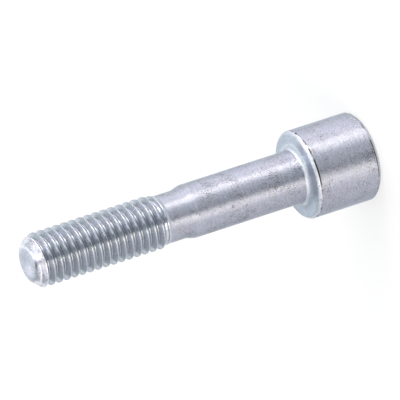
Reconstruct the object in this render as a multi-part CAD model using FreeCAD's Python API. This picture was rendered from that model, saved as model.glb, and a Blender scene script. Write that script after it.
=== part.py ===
import FreeCAD, Part
import math
import os

# Socket head bolt, standing on its head.
# The origin is the middle of the head's outer face, and +Z runs along the axis to the tip.
# Lengths are in millimetres, angles in degrees.

# Head
head_diameter = 13.0
head_height = 10.4
head_crown_chamfer = 0.62
head_rim_chamfer_length = 0.34
head_rim_chamfer_width = 0.24

# Hexagon socket in the head's outer face
socket_across_flats = 6.0
socket_depth = 5.0
socket_mouth_diameter = 7.2

# Shank
length_under_head = 43.5
shank_diameter = 7.84
fillet_radius = 1.1

# Rolled thread, right-handed, with its length measured from the tip
# The groove is cut to half of its real depth, with its helix, flanks and crests at their real size
thread_diameter = 7.9
thread_pitch = 1.25
thread_angle = 60.0
thread_groove_depth = 0.38
thread_length = 22.1
crest_fade_length = 2.0
root_runout_angle = 15.0

# Waist between thread and shank, where the blank keeps the diameter that it was rolled from
waist_length = 2.2
waist_taper_length = 1.4

# Tip, with the shallow dish that rolling leaves in its end face
tip_face_diameter = 5.35
tip_cone_length = 1.45
tip_dish_depth = 0.15

# Sharp V of the thread form, with its crest cut off by an eighth
sharp_height = thread_pitch / (2 * math.tan(math.radians(thread_angle / 2)))
crest_truncation = sharp_height / 8
crest_radius = thread_diameter / 2
sharp_root_radius = crest_radius + crest_truncation - sharp_height
root_radius = crest_radius - thread_groove_depth
waist_radius = crest_radius + crest_truncation - sharp_height / 2

# Stations along the axis, from the head's outer face
bearing_z = head_height
tip_z = bearing_z + length_under_head
thread_end_z = tip_z - thread_length
full_crest_z = thread_end_z + crest_fade_length
waist_end_z = thread_end_z - waist_length
shank_end_z = waist_end_z - waist_taper_length

AXIS_FOOT = FreeCAD.Vector(0, 0, 0)
AXIS = FreeCAD.Vector(0, 0, 1)
FULL_TURN = 360


def point(radius, z):
    """A point of the half section, in the plane through the axis and +X."""
    return FreeCAD.Vector(radius, 0, z)


def straight(points):
    """Straight edges from each point to the next."""
    return [Part.LineSegment(a, b).toShape() for a, b in zip(points, points[1:])]


def turned(edges):
    """The solid that a closed half section sweeps round the axis."""
    section = Part.Face(Part.Wire(edges))
    return section.revolve(AXIS_FOOT, AXIS, FULL_TURN)


def fillet_arc(shaft_radius, z):
    """The hollow arc from the bearing face at height z up to the shaft."""
    centre_radius = shaft_radius + fillet_radius
    reach = fillet_radius * math.sqrt(0.5)
    start = point(centre_radius, z)
    middle = point(centre_radius - reach, z + fillet_radius - reach)
    end = point(shaft_radius, z + fillet_radius)
    return Part.Arc(start, middle, end).toShape()


def blank():
    """Head, shank, waist, the envelope of the thread's crests and the tip, in one outline."""
    head_radius = head_diameter / 2
    shank_radius = shank_diameter / 2
    head_side = [
        point(0, 0),
        point(head_radius - head_crown_chamfer, 0),
        point(head_radius, head_crown_chamfer),
        point(head_radius, bearing_z - head_rim_chamfer_length),
        point(head_radius - head_rim_chamfer_width, bearing_z),
        point(shank_radius + fillet_radius, bearing_z),
    ]
    shaft_side = [
        point(shank_radius, bearing_z + fillet_radius),
        point(shank_radius, shank_end_z),
        point(waist_radius, waist_end_z),
        point(waist_radius, thread_end_z),
        point(crest_radius, full_crest_z),
        point(crest_radius, tip_z - tip_cone_length),
        point(tip_face_diameter / 2, tip_z),
        point(0, tip_z - tip_dish_depth),
        point(0, 0),
    ]
    fillet = fillet_arc(shank_radius, bearing_z)
    return turned(straight(head_side) + [fillet] + straight(shaft_side))


def thread_core():
    """What the groove leaves standing: the root cylinder, and the cone up which the groove runs out."""
    far_z = thread_end_z - thread_pitch
    near_z = tip_z + 2 * thread_pitch
    rise = (full_crest_z - far_z) * math.tan(math.radians(root_runout_angle))
    return turned(straight([
        point(0, far_z),
        point(root_radius + rise, far_z),
        point(root_radius, full_crest_z),
        point(root_radius, near_z),
        point(0, near_z),
        point(0, far_z),
    ]))


def helix(radius, start_z, turns):
    """A right-handed helix of the thread's pitch, one edge to each turn."""
    first_turn = Part.makeHelix(thread_pitch, thread_pitch, radius)
    edges = []
    for turn in range(turns):
        edge = first_turn.Edges[0].copy()
        edge.translate(AXIS * (start_z + turn * thread_pitch))
        edges.append(edge)
    return Part.Wire(edges)


def thread_groove():
    """The V groove, from behind the end of the thread to past the tip, down to the root."""
    start_z = thread_end_z - thread_pitch / 2
    turns = math.ceil((tip_z - start_z) / thread_pitch) + 1
    mouth_radius = crest_radius + crest_truncation / 2
    half_mouth = (mouth_radius - sharp_root_radius) * math.tan(math.radians(thread_angle / 2))
    section = Part.Wire(straight([
        point(sharp_root_radius, start_z),
        point(mouth_radius, start_z + half_mouth),
        point(mouth_radius, start_z - half_mouth),
        point(sharp_root_radius, start_z),
    ]))
    path = helix(sharp_root_radius, start_z, turns)
    make_solid = True
    follow_curvature = True
    groove = path.makePipeShell([section], make_solid, follow_curvature)
    return groove.cut(thread_core())


def hexagon_prism(across_flats, height):
    """An upright hexagon prism on the head's outer face, with two corners on the X axis."""
    corner_radius = across_flats / (2 * math.cos(math.pi / 6))
    corners = []
    for corner in range(6):
        angle = corner * math.pi / 3
        corners.append(FreeCAD.Vector(math.cos(angle), math.sin(angle), 0) * corner_radius)
    corners.append(corners[0])
    return Part.Face(Part.makePolygon(corners)).extrude(AXIS * height)


def socket():
    """The hexagon hole and the countersink at its mouth."""
    mouth_radius = socket_mouth_diameter / 2
    countersink = turned(straight([
        point(0, 0),
        point(mouth_radius, 0),
        point(0, mouth_radius),
        point(0, 0),
    ]))
    return hexagon_prism(socket_across_flats, socket_depth).fuse(countersink)


def bolt():
    """The whole bolt: the turned blank, less its thread groove and its socket."""
    return blank().cut(thread_groove()).cut(socket())


def main():
    os.makedirs("parts", exist_ok=True)
    bolt().exportStep("parts/bolt.step")


main()
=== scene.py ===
import math

import bpy
import numpy as np
from mathutils import Matrix, Vector

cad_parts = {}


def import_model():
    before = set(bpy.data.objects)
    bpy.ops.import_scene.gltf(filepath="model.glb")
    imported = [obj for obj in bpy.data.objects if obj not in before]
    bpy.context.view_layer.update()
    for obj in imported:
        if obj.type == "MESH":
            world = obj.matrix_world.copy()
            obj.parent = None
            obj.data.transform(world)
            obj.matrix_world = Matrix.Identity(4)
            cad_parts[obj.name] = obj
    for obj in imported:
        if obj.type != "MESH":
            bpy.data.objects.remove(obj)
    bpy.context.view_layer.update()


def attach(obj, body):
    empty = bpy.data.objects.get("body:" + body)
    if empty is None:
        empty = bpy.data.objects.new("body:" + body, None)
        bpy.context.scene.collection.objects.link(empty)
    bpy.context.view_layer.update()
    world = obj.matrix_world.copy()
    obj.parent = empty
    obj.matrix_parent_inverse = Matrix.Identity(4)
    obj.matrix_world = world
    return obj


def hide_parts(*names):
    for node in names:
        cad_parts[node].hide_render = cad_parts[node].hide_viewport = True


# The bolt stands on its head: z = 0 is the head's outer face, +Z runs along the axis to the tip.
# Sizes of the bolt are in millimetres and are turned into metres as the mesh is made.
MM = 0.001

# Head
HEAD_RADIUS = 6.5
HEAD_HEIGHT = 10.4
CROWN_CHAMFER = 0.62
RIM_CHAMFER_LENGTH = 0.44
RIM_CHAMFER_WIDTH = 0.33
HEAD_ROUNDING = 0.12

# Hexagon socket
SOCKET_ACROSS_FLATS = 6.0
SOCKET_DEPTH = 5.0
SOCKET_MOUTH_RADIUS = 3.6
# Rows of vertices, as shares of the way across the floor, up the wall and up the countersink
SOCKET_FLOOR_ROWS = (0.03, 0.3, 0.6, 0.85, 0.97, 1.0)
SOCKET_WALL_ROWS = (0.03, 0.2, 0.4, 0.6, 0.8, 0.96, 1.0)
COUNTERSINK_ROWS = (0.2, 0.6, 0.9)

# Shank and waist
SHANK_RADIUS = 3.92
FILLET_RADIUS = 1.1
FILLET_STEP_DEGREES = 9
# Height in the fillet at which the turned finish starts
FILLET_TURNED = 10.88
SHANK_END = 28.2
WAIST_RADIUS = 3.544
WAIST_START = 29.6
SHANK_ROUNDING = 0.2
SHANK_ROUNDING_STEPS = 6

# Thread
THREAD_END = 31.8
CREST_RADIUS = 3.95
ROOT_RADIUS = 3.183
PITCH = 1.25
FLANK_ANGLE = 30.0
GROOVE_START = THREAD_END - PITCH / 2
CREST_START = 32.5
FULL_CREST = 33.8
RUNOUT_ANGLE = 18.0
CREST_ROUNDING = 0.07
ROOT_ROUNDING = 0.16
CONE_ROUNDING = 0.12

# Tip
TIP_CONE_START = 52.45
TIP_HEIGHT = 53.9
TIP_FACE_RADIUS = 2.675
TIP_DISH_DEPTH = 0.26
TIP_LIP = 0.45
TIP_LIP_ROWS = 8
TIP_DISH_ROWS = (0.95, 0.9, 0.82, 0.74, 0.64, 0.54, 0.44, 0.34, 0.24, 0.14, 0.04)

# Fineness of the mesh: columns round the axis, a multiple of six for the socket's corners
COLUMNS = 192
BODY_ROW_STEP = 0.55
THREAD_ROW_STEP = PITCH / 19

# Finish
# Material, colour, roughness, anisotropy, mottle: turned sides, pressed faces and fillet,
# taper and waist, rolled thread, tip
FINISHES = (
    ("zinc_turned", (0.547, 0.573, 0.657), 0.5, 1.0, 0.65),
    ("zinc_pressed", (0.59, 0.63, 0.69), 0.41, 0.0, 0.5),
    ("zinc_waist", (0.505, 0.534, 0.61), 0.44, 1.0, 0.6),
    ("zinc_rolled", (0.515, 0.548, 0.605), 0.23, 1.0, 0.26),
    # The tip's finish is its own, but its lighter colour is painted reflection: a brighter copy of
    # the zinc for the light its end face catches.
    ("zinc_tip_painted_reflection", (0.76, 0.75, 0.82), 0.26, 0.0, 0.5),
)
TURNED, PRESSED, WAIST, ROLLED, TIP = range(len(FINISHES))
# Grain of the plating: scale and detail of each noise
GRAIN_NOISE = (3.2, 3.0)
FINE_NOISE = (7.5, 2.0)
CLOUD_NOISE = (0.45, 2.0)
STREAK_NOISE = (1.0, 2.0)
WEAR_NOISE = (1.1, 4.0)
MOTTLE_CONTRAST = 0.22
ROUGHNESS_SPREAD = 0.05
# Depth of the relief in metres
BUMP_DISTANCE = 0.00002
PIT_COLOUR = (0.11, 0.12, 0.17)
# Painted shade in the thread's roots, and dullness of its crests: colour, share, radii from none to
# full
ROOT_SHADE_COLOUR = (0.20, 0.23, 0.25)
ROOT_SHADE_SHARE = 0.62
ROOT_SHADE_RADII = (3.5, 3.2)
CREST_COLOUR = (0.36, 0.38, 0.43)
CREST_SHARE = 0.8
CREST_RADII = (3.84, 3.92)
# Height of the dark line along the rim and along the crown: from, to and softness
LINE_COLOUR = (0.06, 0.05, 0.05)
RIM_LINE = (9.77, 10.0, 0.03)
CROWN_LINE = (0.55, 0.72, 0.04)
# Where the lines are unbroken: from, to and softness in degrees round the axis
WORN_SECTOR = (-98.0, -60.0, 8.0)
# Stained clusters: height, angle round the axis in degrees, reach
STAIN_COLOUR = (0.15, 0.12, 0.11)
STAIN_SHARE = 0.85
STAINS = (
    (15.7, -84.0, 0.55),
    (17.6, -120.0, 0.5),
    (12.1, -80.6, 0.35),
    (12.2, -109.5, 0.4),
    (20.7, -101.0, 0.6),
    (22.8, -94.5, 0.7),
    (10.0, -116.0, 0.6),
    (9.6, -102.0, 0.5),
    (6.7, -99.0, 0.4),
    (1.0, -76.0, 0.8),
    (1.3, -98.0, 0.9),
    (31.0, -116.0, 0.9),
    (52.9, -66.0, 0.6),
    (52.6, -58.0, 0.6),
)

# Camera: telephoto, turned on its side as in the photograph
CAMERA_AZIMUTH = 16.0
CAMERA_ELEVATION = 23.18
CAMERA_ROLL = 108.03
CAMERA_DISTANCE = 1.5
CAMERA_CLIPS = (0.1, 20.0)
AIM_SIDE = 0.98
AIM_HEIGHT = 25.77
FRAME_WIDTH = 56.53
SENSOR_WIDTH = 36.0

# World: light by the angle round the bolt in degrees, where 0 is the side of the camera's place
SIDES = (
    (-180, (1.2, 1.3, 1.35)),
    (-150, (3.2, 3.0, 2.95)),
    (-110, (3.0, 2.7, 2.7)),
    (-58, (2.2, 2.0, 2.0)),
    (-44, (2.4, 2.1, 2.05)),
    (-32, (8.5, 7.6, 6.6)),
    (-24.5, (3.8, 3.5, 3.0)),
    (-16, (0.05, 0.09, 0.13)),
    (0, (0.02, 0.07, 0.17)),
    (22, (0.02, 0.08, 0.22)),
    (35, (1.5, 1.5, 1.65)),
    (51, (4.6, 4.3, 4.05)),
    (60, (13.6, 12.3, 11.0)),
    (69, (3.6, 3.3, 3.4)),
    (110, (6.2, 5.6, 5.8)),
    (150, (8.0, 7.2, 7.4)),
    (180, (1.2, 1.3, 1.35)),
)
# Turn of the strips near the horizon, as a share of a full turn
HORIZON_SLANT = 0.04
# Grey that fills the dark gap higher up
GAP_FILL = 0.48
# World: light by the way across, from -1 to 1, of the hoop over the bolt, of what hangs
# overhead, and of the sheet behind
HOOP = (
    (-0.9, (0.8, 0.82, 0.84)),
    (-0.45, (1.2, 1.22, 1.22)),
    (-0.26, (1.4, 1.42, 1.42)),
    (-0.19, (0.4, 0.42, 0.44)),
    (-0.06, (0.4, 0.42, 0.44)),
    (0.01, (1.5, 1.52, 1.5)),
    (0.08, (2.3, 2.3, 2.25)),
    (0.2, (2.3, 2.3, 2.25)),
    (0.3, (1.2, 1.24, 1.26)),
    (0.45, (1.1, 1.14, 1.16)),
    (0.9, (1.6, 1.62, 1.64)),
)
OVERHEAD = (
    (-0.9, (0.52, 0.58, 0.58)),
    (-0.3, (0.52, 0.58, 0.58)),
    (-0.23, (0.10, 0.12, 0.14)),
    (-0.18, (0.0, 0.0, 0.01)),
    (0.01, (0.0, 0.0, 0.01)),
    (0.08, (1.8, 1.96, 1.94)),
    (0.16, (2.9, 3.1, 3.05)),
    (0.25, (3.2, 3.4, 3.35)),
    (0.34, (1.3, 1.45, 1.42)),
    (0.46, (0.8, 0.9, 0.89)),
    (0.9, (0.65, 0.71, 0.71)),
)
SHEET = (
    (-0.3, (0.55, 0.60, 0.66)),
    (-0.08, (0.80, 0.88, 0.92)),
    (0.04, (0.86, 0.93, 0.98)),
    (0.2, (1.35, 1.35, 1.4)),
)

# Floor: its size and height in metres, the lightness of its paint, and the white added to it
# for camera, reflections and transmission
FLOOR_RADIUS = 12.0
FLOOR_CORNERS = 96
FLOOR_HEIGHT = -0.00002
FLOOR_PAINT = 0.32
FLOOR_GLOW = 0.62


# ---- Outline of the turned body, as (radius, height) rows

def line(start, end, steps):
    """Rows from start up to, but without, end."""
    return [
        (start[0] + (end[0] - start[0]) * i / steps, start[1] + (end[1] - start[1]) * i / steps)
        for i in range(steps)
    ]


def rounded(points, radius, steps=4):
    """The corners of an outline, each replaced by a short arc-like curve of about that radius."""
    longest_share = 0.45
    out = [points[0]]
    for before, corner, after in zip(points, points[1:], points[2:]):
        before, corner, after = Vector(before), Vector(corner), Vector(after)
        reach = min(
            radius,
            (before - corner).length * longest_share,
            (after - corner).length * longest_share,
        )
        start = corner + (before - corner).normalized() * reach
        end = corner + (after - corner).normalized() * reach
        for i in range(steps + 1):
            t = i / steps
            p = start * (1 - t) ** 2 + corner * 2 * t * (1 - t) + end * t * t
            out.append((p.x, p.y))
    out.append(points[-1])
    return out


def divided(points, step_length):
    """The outline with no stretch longer than step_length."""
    out = []
    for a, b in zip(points, points[1:]):
        out += line(a, b, max(1, math.ceil(math.dist(a, b) / step_length)))
    return out + [points[-1]]


def fillet_points():
    """The hollow arc from the bearing face up to the shank."""
    centre = (SHANK_RADIUS + FILLET_RADIUS, HEAD_HEIGHT + FILLET_RADIUS)
    return [
        (
            centre[0] - FILLET_RADIUS * math.sin(math.radians(angle)),
            centre[1] - FILLET_RADIUS * math.cos(math.radians(angle)),
        )
        for angle in range(0, 91, FILLET_STEP_DEGREES)
    ]


def socket_rows(angles):
    """Radius and height of the socket's rows, from the middle of its floor out to its mouth."""
    sixth = math.pi / 3
    hexagon = SOCKET_ACROSS_FLATS / 2 / np.cos(np.mod(angles, sixth) - sixth / 2)
    rim = SOCKET_MOUTH_RADIUS - hexagon
    rows = []
    for share in SOCKET_FLOOR_ROWS:
        rows.append((hexagon * share, np.full_like(angles, SOCKET_DEPTH)))
    for share in SOCKET_WALL_ROWS:
        rows.append((hexagon, SOCKET_DEPTH + (rim - SOCKET_DEPTH) * share))
    for share in COUNTERSINK_ROWS:
        rows.append((hexagon + rim * share, rim * (1 - share)))
    return rows


def body_rows(angles):
    """Rows of the turned surface, from the socket's mouth up the waist to the thread's rows."""
    head = rounded(
        [
            (SOCKET_MOUTH_RADIUS, 0),
            (HEAD_RADIUS - CROWN_CHAMFER, 0),
            (HEAD_RADIUS, CROWN_CHAMFER),
            (HEAD_RADIUS, HEAD_HEIGHT - RIM_CHAMFER_LENGTH),
            (HEAD_RADIUS - RIM_CHAMFER_WIDTH, HEAD_HEIGHT),
            (SHANK_RADIUS + FILLET_RADIUS, HEAD_HEIGHT),
        ],
        HEAD_ROUNDING,
    )
    shaft = rounded(
        [
            (SHANK_RADIUS, HEAD_HEIGHT + FILLET_RADIUS),
            (SHANK_RADIUS, SHANK_END),
            (WAIST_RADIUS, WAIST_START),
            (WAIST_RADIUS, THREAD_END - PITCH),
        ],
        SHANK_ROUNDING,
        SHANK_ROUNDING_STEPS,
    )
    outline = divided(head[:-1] + fillet_points() + shaft[1:], BODY_ROW_STEP)
    return [(np.full_like(angles, r), np.full_like(angles, z)) for r, z in outline[:-1]]


# ---- Thread

def smooth_max(a, b, k):
    """The larger of two values, rounded over about k where they meet."""
    h = np.maximum(k - np.abs(a - b), 0) / k
    return np.maximum(a, b) + h * h * k / 4


def smooth_min(a, b, k):
    return -smooth_max(-a, -b, k)


def envelope(z):
    """Radius of the crests: waist, rise to the full thread, and the cone at the tip."""
    rise = np.clip((z - CREST_START) / (FULL_CREST - CREST_START), 0, 1)
    full = WAIST_RADIUS + (CREST_RADIUS - WAIST_RADIUS) * rise
    slope = (CREST_RADIUS - TIP_FACE_RADIUS) / (TIP_HEIGHT - TIP_CONE_START)
    cone = CREST_RADIUS - slope * (z - TIP_CONE_START)
    return smooth_min(full, cone, CONE_ROUNDING)


def thread_radius(z, angles):
    """Radius of the threaded surface: a V groove on a right-handed helix, run out at the waist."""
    slope = math.tan(math.radians(FLANK_ANGLE))
    turn = (z - GROOVE_START) / PITCH - angles / (2 * math.pi)
    off_centre = np.abs(turn - np.round(turn)) * PITCH
    # The V's point: its crest is cut off by an eighth of its height
    sharp_root = CREST_RADIUS + PITCH / slope / 16 - PITCH / 2 / slope
    flank = sharp_root + off_centre / slope
    runout = np.maximum(FULL_CREST - z, 0) * math.tan(math.radians(RUNOUT_ANGLE))
    groove = smooth_max(flank, ROOT_RADIUS + runout, ROOT_ROUNDING)
    return smooth_min(groove, envelope(z), CREST_ROUNDING)


def thread_rows(angles):
    start, end = THREAD_END - PITCH, TIP_HEIGHT - TIP_LIP
    count = round((end - start) / THREAD_ROW_STEP)
    rows = []
    for i in range(count):
        z = np.full_like(angles, start + (end - start) * i / count)
        rows.append((thread_radius(z, angles), z))
    return rows


def tip_rows(angles):
    """The end face, with its rounded lip and shallow dish."""
    z = np.full_like(angles, TIP_HEIGHT)
    foot = thread_radius(z - TIP_LIP, angles)
    edge = thread_radius(z, angles)
    lip = TIP_FACE_RADIUS - 1.3 * TIP_LIP
    rows = []
    for t in np.linspace(0, 1, TIP_LIP_ROWS):
        radius = foot * (1 - t) ** 2 + edge * 2 * t * (1 - t) + lip * t * t
        rows.append((radius, z - TIP_LIP * (1 - t) ** 2))
    for share in TIP_DISH_ROWS:
        sink = TIP_DISH_DEPTH * (1 + math.cos(math.pi * share)) / 2
        rows.append((np.full_like(angles, lip * share), z - sink))
    return rows


# ---- Mesh

def finish_of_faces(radius, height):
    """The place in FINISHES of each face, from the rows' radii and heights."""
    middle = height.mean(axis=1)
    on_head = (middle > CROWN_CHAMFER) & (middle < HEAD_HEIGHT - RIM_CHAMFER_LENGTH)
    on_side = on_head & (radius.mean(axis=1) > HEAD_RADIUS - 0.01)
    on_shank = (middle > FILLET_TURNED) & (middle <= SHANK_END)
    turned = on_side | on_shank
    reached = [middle[:-1] > edge for edge in (TIP_CONE_START, CREST_START, SHANK_END)]
    of_row = np.select(
        reached + [turned[:-1] & turned[1:]], [TIP, ROLLED, WAIST, TURNED], PRESSED
    )
    poles = [np.full(COLUMNS, PRESSED), np.full(COLUMNS, TIP)]
    return np.concatenate([np.repeat(of_row, COLUMNS)] + poles)


def bolt_mesh():
    """One closed mesh: rings of vertices from the socket's floor round to the middle of the tip."""
    angles = np.arange(COLUMNS) * 2 * math.pi / COLUMNS
    rows = socket_rows(angles) + body_rows(angles) + thread_rows(angles) + tip_rows(angles)
    radius = np.array([r for r, _ in rows])
    height = np.array([z for _, z in rows])
    verts = np.stack([radius * np.cos(angles), radius * np.sin(angles), height], axis=-1)
    verts = verts.reshape(-1, 3)
    first_pole = len(verts)
    poles = np.array([[0, 0, SOCKET_DEPTH], [0, 0, TIP_HEIGHT - TIP_DISH_DEPTH]])
    verts = np.vstack([verts, poles]) * MM
    here = np.arange(COLUMNS)
    after = (here + 1) % COLUMNS
    faces = []
    for row in range(len(rows) - 1):
        low, high = row * COLUMNS, (row + 1) * COLUMNS
        faces += np.stack([low + here, low + after, high + after, high + here], axis=-1).tolist()
    last = (len(rows) - 1) * COLUMNS
    pairs = list(zip(here.tolist(), after.tolist()))
    faces += [[first_pole, b, a] for a, b in pairs]
    faces += [[last + a, last + b, first_pole + 1] for a, b in pairs]
    mesh = bpy.data.meshes.new("bolt_body")
    mesh.from_pydata(verts.tolist(), [], faces)
    mesh.shade_smooth()
    for finish in FINISHES:
        mesh.materials.append(zinc_material(*finish))
    finishes = finish_of_faces(radius, height).astype(np.int32)
    mesh.polygons.foreach_set("material_index", finishes)
    return mesh


# ---- Nodes

def add(tree, kind, inputs=None, **settings):
    """A node with its settings, and its inputs as values or as sockets to link."""
    node = tree.nodes.new(kind)
    for name, value in settings.items():
        setattr(node, name, value)
    for name, value in (inputs or {}).items():
        socket = node.inputs[name]
        if isinstance(value, bpy.types.NodeSocket):
            tree.links.new(value, socket)
        else:
            socket.default_value = value
    return node


def calculated(tree, operation, *values):
    """The result of a Math node."""
    return add(tree, "ShaderNodeMath", dict(enumerate(values)), operation=operation).outputs[0]


def product(tree, a, b):
    return calculated(tree, "MULTIPLY", a, b)


def vector(tree, operation, *values, result="Vector"):
    """The result of a Vector Math node."""
    node = add(tree, "ShaderNodeVectorMath", dict(enumerate(values)), operation=operation)
    return node.outputs[result]


def ranged(tree, value, start, end, low=0.0, high=1.0, kind="LINEAR"):
    """A value that runs from low, up to start, to high, from end."""
    inputs = {"Value": value, "From Min": start, "From Max": end, "To Min": low, "To Max": high}
    return add(tree, "ShaderNodeMapRange", inputs, interpolation_type=kind).outputs[0]


def step(tree, value, start, end):
    """0 up to start and 1 from end, with a smooth rise between the two."""
    return ranged(tree, value, start, end, kind="SMOOTHSTEP")


def window(tree, value, low, high, soft):
    """1 where value lies between low and high, with soft edges, and 0 elsewhere."""
    rise = step(tree, value, low - soft, low + soft)
    fall = step(tree, value, high + soft, high - soft)
    return product(tree, rise, fall)


def ramp(tree, value, stops, interpolation="LINEAR"):
    """A colour ramp from (position, colour) stops."""
    node = add(tree, "ShaderNodeValToRGB", {"Fac": value})
    node.color_ramp.interpolation = interpolation
    elements = node.color_ramp.elements
    while len(elements) < len(stops):
        elements.new(0.5)
    for element, (position, colour) in zip(elements, stops):
        element.position = position
        element.color = (*colour, 1)
    return node.outputs["Color"]


def grey(value):
    return (value, value, value)


def mixed(tree, factor, a, b, blend="MIX"):
    """Colour a, mixed with colour b by factor."""
    node = add(tree, "ShaderNodeMix", data_type="RGBA", blend_type=blend)
    for name, value in (("Factor", factor), ("A", a), ("B", b)):
        socket = next(s for s in node.inputs if s.name == name and s.enabled)
        if isinstance(value, bpy.types.NodeSocket):
            tree.links.new(value, socket)
        elif name == "Factor":
            socket.default_value = value
        else:
            socket.default_value = (*value, 1)
    return next(s for s in node.outputs if s.enabled)


def noise(tree, place, scale, detail):
    inputs = {"Vector": place, "Scale": scale, "Detail": detail}
    return add(tree, "ShaderNodeTexNoise", inputs).outputs["Fac"]


# ---- Finish of the plating

def stain_mask(tree, place, speckle):
    """Small clusters of stained specks at fixed places on the surface."""
    total = None
    for height, turn, reach in STAINS:
        angle = math.radians(turn)
        radius = HEAD_RADIUS if height < HEAD_HEIGHT else SHANK_RADIUS
        centre = (radius * math.cos(angle), radius * math.sin(angle), height)
        distance = vector(tree, "DISTANCE", place, centre, result="Value")
        near = ranged(tree, distance, reach, 0.0)
        total = near if total is None else calculated(tree, "MAXIMUM", total, near)
    lifted = calculated(tree, "MULTIPLY_ADD", total, 0.34, speckle)
    return ranged(tree, lifted, 0.72, 0.84)


def line_mask(tree, place, parts):
    """Dark lines along rim and crown, whole in the worn sector and broken elsewhere."""
    broken = ramp(tree, noise(tree, place, *WEAR_NOISE), [(0.42, grey(0)), (0.56, grey(1))])
    rim = window(tree, parts.outputs["Z"], *RIM_LINE)
    crown = window(tree, parts.outputs["Z"], *CROWN_LINE)
    lines = calculated(tree, "MAXIMUM", rim, crown)
    turn = calculated(tree, "ARCTAN2", parts.outputs["Y"], parts.outputs["X"])
    worn = window(tree, turn, *(math.radians(angle) for angle in WORN_SECTOR))
    return product(tree, lines, calculated(tree, "MAXIMUM", worn, broken))


def plating_colour(tree, place, noises, tint, mottling):
    """Mottle, streaks, clouds and pits, then painted shade in the thread's roots, the stains and
    the dark lines.
    """
    grain, fine, cloud = noises
    parts = add(tree, "ShaderNodeSeparateXYZ", {"Vector": place})
    speckle = calculated(tree, "MULTIPLY_ADD", fine, 0.7, grain)
    contrast = MOTTLE_CONTRAST * mottling
    dull, bright = (tuple(c * (1 + share) for c in tint) for share in (-contrast, contrast))
    plating = mixed(tree, ranged(tree, speckle, 0.65, 1.05), dull, bright)
    # Faint lines round the axis, left by turning and rolling
    stretched = vector(tree, "MULTIPLY", place, (0.3, 0.3, 5.0))
    streaks = noise(tree, stretched, *STREAK_NOISE)
    streaked = ramp(tree, streaks, [(0.36, grey(0.86)), (0.52, grey(1.0))])
    plating = mixed(tree, mottling, plating, streaked, "MULTIPLY")
    clouded = ramp(tree, cloud, [(0.35, (0.90, 0.91, 0.94)), (0.65, grey(1.0))])
    plating = mixed(tree, 1.0, plating, clouded, "MULTIPLY")

    pitted = calculated(tree, "MULTIPLY_ADD", cloud, 0.45, fine)
    pits = ramp(tree, pitted, [(0.80, grey(0)), (0.87, grey(1))])
    plating = mixed(tree, product(tree, pits, 0.3 + 0.7 * mottling), plating, PIT_COLOUR)

    from_axis = vector(tree, "MULTIPLY", place, (1, 1, 0))
    radius = vector(tree, "LENGTH", from_axis, result="Value")
    on_thread = window(tree, parts.outputs["Z"], THREAD_END, TIP_CONE_START, 0.1)
    # Painted shade: the thread's roots are darkened towards a dark colour, standing for shade in
    # the grooves; the crests are dulled.
    for radii, share, colour in (
        (ROOT_SHADE_RADII, ROOT_SHADE_SHARE, ROOT_SHADE_COLOUR),
        (CREST_RADII, CREST_SHARE, CREST_COLOUR),
    ):
        there = product(tree, step(tree, radius, *radii), on_thread)
        plating = mixed(tree, product(tree, there, share), plating, colour)

    stains = product(tree, stain_mask(tree, place, fine), STAIN_SHARE)
    plating = mixed(tree, stains, plating, STAIN_COLOUR)
    return mixed(tree, line_mask(tree, place, parts), plating, LINE_COLOUR)


def zinc_material(name, tint, roughness, anisotropy, mottling):
    """Bluish zinc plating: fine mottle, dark pits in patches, brown specks and worn dark lines."""
    material = bpy.data.materials.new(name)
    material.use_nodes = True
    tree = material.node_tree
    tree.nodes.clear()
    metres = add(tree, "ShaderNodeTexCoord").outputs["Object"]
    place = add(
        tree, "ShaderNodeVectorMath", {0: metres, "Scale": 1 / MM}, operation="SCALE"
    ).outputs["Vector"]
    noises = [noise(tree, place, *kind) for kind in (GRAIN_NOISE, FINE_NOISE, CLOUD_NOISE)]
    grain, fine, cloud = noises

    waves = calculated(tree, "MULTIPLY_ADD", cloud, 4.0, grain)
    relief = calculated(tree, "MULTIPLY_ADD", fine, 0.5, waves)
    bump = add(
        tree,
        "ShaderNodeBump",
        {"Strength": mottling, "Distance": BUMP_DISTANCE, "Height": relief},
    )
    tangent = add(tree, "ShaderNodeTangent", direction_type="RADIAL", axis="Z")
    duller, rougher = roughness - ROUGHNESS_SPREAD, roughness + ROUGHNESS_SPREAD
    shader = add(
        tree,
        "ShaderNodeBsdfPrincipled",
        {
            "Base Color": plating_colour(tree, place, noises, tint, mottling),
            "Metallic": 1.0,
            "Roughness": ranged(tree, grain, 0.0, 1.0, duller, rougher),
            "Anisotropic": anisotropy,
            "Anisotropic Rotation": 0.25,
            "Normal": bump.outputs["Normal"],
            "Tangent": tangent.outputs["Tangent"],
        },
    )
    output = add(tree, "ShaderNodeOutputMaterial")
    tree.links.new(shader.outputs["BSDF"], output.inputs["Surface"])
    return material


# ---- Studio

def camera_axes():
    """Unit vectors: to the camera, level to its right, and straight up the untilted picture."""
    azimuth, elevation = math.radians(CAMERA_AZIMUTH), math.radians(CAMERA_ELEVATION)
    level_back = Vector((math.sin(azimuth), -math.cos(azimuth), 0))
    back = level_back * math.cos(elevation) + Vector((0, 0, math.sin(elevation)))
    right = Vector((math.cos(azimuth), math.sin(azimuth), 0))
    return back, right, back.cross(right)


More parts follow.
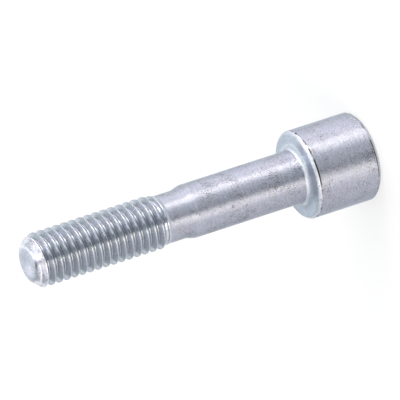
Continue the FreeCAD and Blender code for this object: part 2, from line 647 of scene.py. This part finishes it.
def make_camera():
    back, right, up = camera_axes()
    aim = (right * AIM_SIDE + Vector((0, 0, AIM_HEIGHT))) * MM
    roll = math.radians(CAMERA_ROLL)
    picture_right = right * math.cos(roll) - up * math.sin(roll)
    picture_up = right * math.sin(roll) + up * math.cos(roll)
    data = bpy.data.cameras.new("camera")
    data.sensor_width = SENSOR_WIDTH
    data.lens = SENSOR_WIDTH * CAMERA_DISTANCE / (FRAME_WIDTH * MM)
    data.clip_start, data.clip_end = CAMERA_CLIPS
    camera = bpy.data.objects.new("camera", data)
    rotation = Matrix((picture_right, picture_up, back)).transposed()
    camera.matrix_world = Matrix.Translation(aim + back * CAMERA_DISTANCE) @ rotation.to_4x4()
    bpy.context.collection.objects.link(camera)
    bpy.context.scene.camera = camera


def across(tree, side_share, stops):
    """A ramp over the way across, from stops between -1 and 1."""
    return ramp(tree, side_share, [(0.5 + share / 2, colour) for share, colour in stops])


def make_world():
    """A studio that changes with the direction round the bolt: bright strips and dark gaps."""
    world = bpy.data.worlds.new("studio")
    world.use_nodes = True
    tree = world.node_tree
    tree.nodes.clear()
    direction = add(tree, "ShaderNodeTexCoord").outputs["Generated"]
    # Turned so that X is the side of the camera's place and Y is the way across. The gradient of
    # the sides starts behind the bolt.
    turned = add(
        tree,
        "ShaderNodeVectorRotate",
        {"Vector": direction, "Axis": (0, 0, 1), "Angle": math.radians(90 - CAMERA_AZIMUTH)},
    )
    parts = add(tree, "ShaderNodeSeparateXYZ", {"Vector": turned.outputs[0]})
    forward, sideways, upward = (parts.outputs[name] for name in "XYZ")
    around = calculated(tree, "ARCTAN2", sideways, forward)
    # Near the horizon the strips lean over to one side.
    slant = product(tree, step(tree, upward, 0.25, 0.1), HORIZON_SLANT)
    middle = calculated(tree, "ADD", slant, 0.5)
    share = calculated(tree, "MULTIPLY_ADD", around, 1 / (2 * math.pi), middle)
    sides = ramp(tree, share, [(0.5 + angle / 360, colour) for angle, colour in SIDES], "EASE")
    side_share = calculated(tree, "MULTIPLY_ADD", sideways, 0.5, 0.5)
    # Overhead the studio changes from the dull side across a dark gap to the bright side.
    overhead = across(tree, side_share, OVERHEAD)
    # A white hoop leans over the bolt, between the strips and what hangs overhead.
    lean = calculated(tree, "MULTIPLY_ADD", forward, -0.5, upward)
    hoop = across(tree, side_share, HOOP)
    # Higher up on the camera's side the dark gap is filled with grey, or it shows as blue dots
    # where the thread's flanks meet the outline in views from behind.
    filled = product(tree, step(tree, forward, 0.3, 0.6), step(tree, upward, 0.22, 0.34))
    sides = mixed(tree, filled, sides, grey(GAP_FILL), "LIGHTEN")
    colour = mixed(tree, step(tree, lean, 0.26, 0.34), sides, hoop)
    colour = mixed(tree, step(tree, lean, 0.82, 0.90), colour, overhead)
    behind = product(tree, step(tree, forward, -0.1, -0.3), step(tree, upward, 0.30, 0.38))
    colour = mixed(tree, behind, colour, overhead)
    # Far behind hangs a sheet that grows paler to one side, for the end and bearing faces.
    sheet = across(tree, side_share, SHEET)
    far = step(tree, forward, -0.30, -0.45)
    on_sheet = product(tree, far, window(tree, side_share, 0.33, 0.67, 0.04))
    colour = mixed(tree, on_sheet, colour, sheet)
    horizon = ramp(tree, upward, [(0.0, grey(1)), (0.04, grey(0))])
    colour = mixed(tree, horizon, colour, grey(1.0))
    background = add(tree, "ShaderNodeBackground", {"Color": colour, "Strength": 1.0})
    output = add(tree, "ShaderNodeOutputWorld")
    tree.links.new(background.outputs[0], output.inputs["Surface"])
    bpy.context.scene.world = world


def floor_material():
    """Pale paint, with white added for camera, reflections and transmission."""
    material = bpy.data.materials.new("pale_floor")
    material.use_nodes = True
    tree = material.node_tree
    tree.nodes.clear()
    path = add(tree, "ShaderNodeLightPath").outputs
    seen = calculated(tree, "MAXIMUM", path["Is Camera Ray"], path["Is Glossy Ray"])
    seen = calculated(tree, "MAXIMUM", seen, path["Is Transmission Ray"])
    strength = product(tree, seen, FLOOR_GLOW)
    glow = add(tree, "ShaderNodeEmission", {"Color": (1, 1, 1, 1), "Strength": strength})
    paint = add(tree, "ShaderNodeBsdfDiffuse", {"Color": (*grey(FLOOR_PAINT), 1)})
    both = add(tree, "ShaderNodeAddShader")
    tree.links.new(glow.outputs[0], both.inputs[0])
    tree.links.new(paint.outputs[0], both.inputs[1])
    output = add(tree, "ShaderNodeOutputMaterial")
    tree.links.new(both.outputs[0], output.inputs["Surface"])
    return material


def make_floor():
    """A wide round plane under the head, that keeps a faint shadow."""
    corners = [2 * math.pi * i / FLOOR_CORNERS for i in range(FLOOR_CORNERS)]
    ring = [
        (FLOOR_RADIUS * math.cos(corner), FLOOR_RADIUS * math.sin(corner), FLOOR_HEIGHT)
        for corner in corners
    ]
    mesh = bpy.data.meshes.new("floor")
    mesh.from_pydata(ring, [], [list(range(FLOOR_CORNERS))])
    mesh.materials.append(floor_material())
    floor = bpy.data.objects.new("floor", mesh)
    bpy.context.collection.objects.link(floor)


def main():
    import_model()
    scene = bpy.context.scene
    scene.view_settings.view_transform = "Standard"

    bolt = bpy.data.objects.new("bolt_surface", bolt_mesh())
    bpy.context.collection.objects.link(bolt)
    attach(bolt, "root")
    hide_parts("bolt")

    make_camera()
    make_world()
    make_floor()


main()
